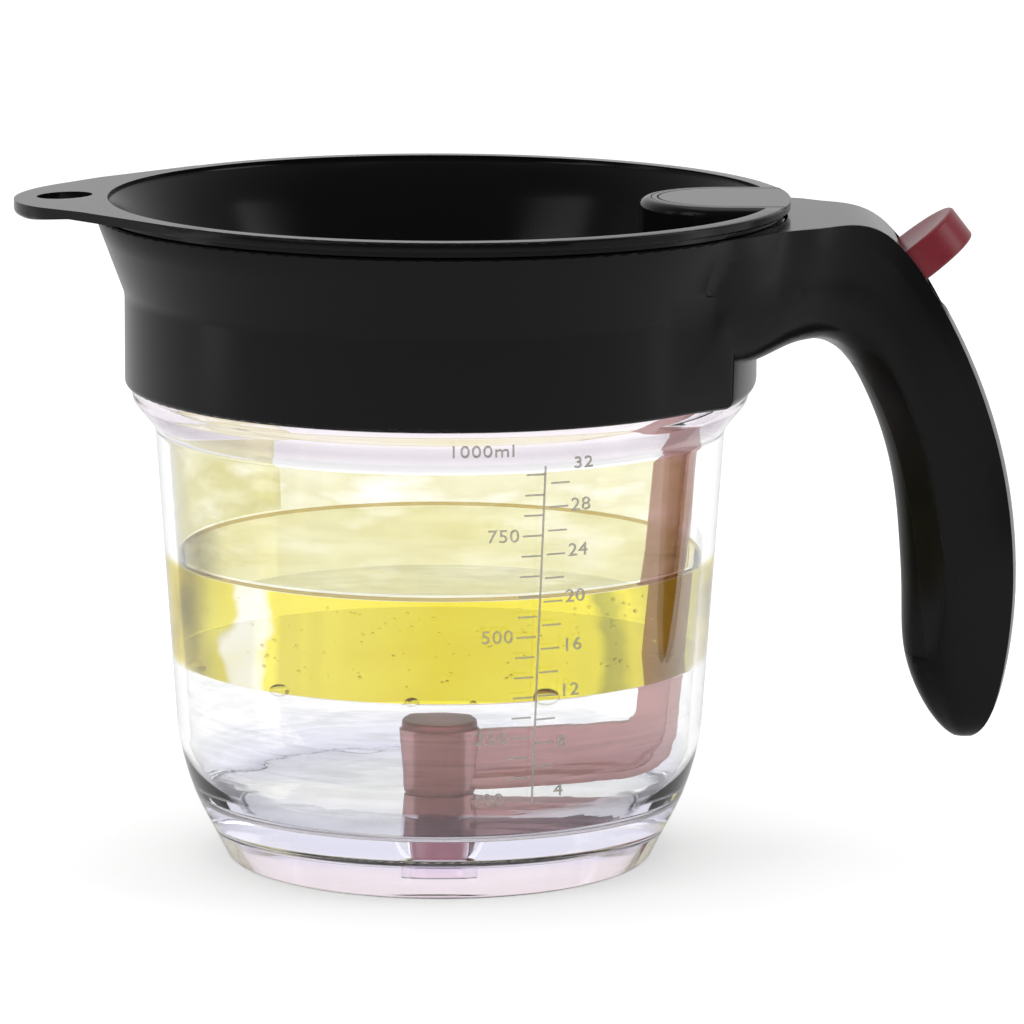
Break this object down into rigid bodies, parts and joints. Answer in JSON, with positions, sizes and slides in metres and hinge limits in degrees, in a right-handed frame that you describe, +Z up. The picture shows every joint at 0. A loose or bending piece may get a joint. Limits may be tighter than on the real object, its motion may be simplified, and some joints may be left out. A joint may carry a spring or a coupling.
{
  "type": "gravy fat separator",
  "caption": "Clear jug that drains from below: a thumb lever in the handle lifts an arm and a plug, under a lift-off strainer with a hanging tab.",
  "frame": {"origin": "centre of the foot's rest plane, on the jug's axis", "axes": "+Z up along the jug's axis; +X towards the handle; +Y to the far side when the handle is on the right"},
  "size_m": [0.2278, 0.158, 0.1515],
  "materials": {
    "clear_plastic": "gloss, clear",
    "soft_seal": "matte silicone",
    "black_plastic": "satin gloss",
    "black_satin": "satin",
    "soft_grip": "satin, soft",
    "grey_plastic": "matte",
    "screw_steel": "satin",
    "pin_steel": "polished",
    "spring_steel": "bright wire",
    "red_plastic": "satin gloss",
    "carriage_plastic": "satin",
    "red_translucent": "gloss, translucent",
    "plug_silicone": "satin silicone",
    "strainer_plastic": "satin gloss",
    "cap_plastic": "satin gloss"
  },
  "bodies": {
    "jug_body": {"jug": "clear_plastic", "neck_seal": "soft_seal", "collar": "black_plastic", "handle_cover": "black_satin", "palm_insert": "soft_grip", "mechanism_bridge": "grey_plastic", "bridge_screws": "screw_steel", "lever_pin": "pin_steel", "return_spring": "spring_steel"},
    "lever": {"thumb_lever": "red_plastic"},
    "plug_lift": {"lift_carriage": "carriage_plastic", "lift_arm": "red_translucent", "drain_plug": "plug_silicone"},
    "strainer_top": {"strainer": "strainer_plastic", "strainer_cap": "cap_plastic"}
  },
  "joints": [
    {"name": "lever_press", "type": "hinge", "parent": "jug_body", "child": "lever", "pos_m": [0.09, 0, 0.131], "axis": [0, 1, 0], "range_deg": [0, 9.01]},
    {"name": "plug_rise", "type": "slide", "parent": "jug_body", "child": "plug_lift", "axis": [0, 0, 1], "range_m": [0, 0.0055], "stiffness_N_per_m": 300, "springref_m": -0.003, "deforming": ["return_spring"]},
    {"name": "strainer_lift", "type": "slide", "parent": "jug_body", "child": "strainer_top", "axis": [0, 0, 1], "range_m": [0, 0.06]}
  ],
  "couplings": [
    {"joint": "lever_press", "follows": "plug_rise", "rad_per_m": 28.571}
  ]
}
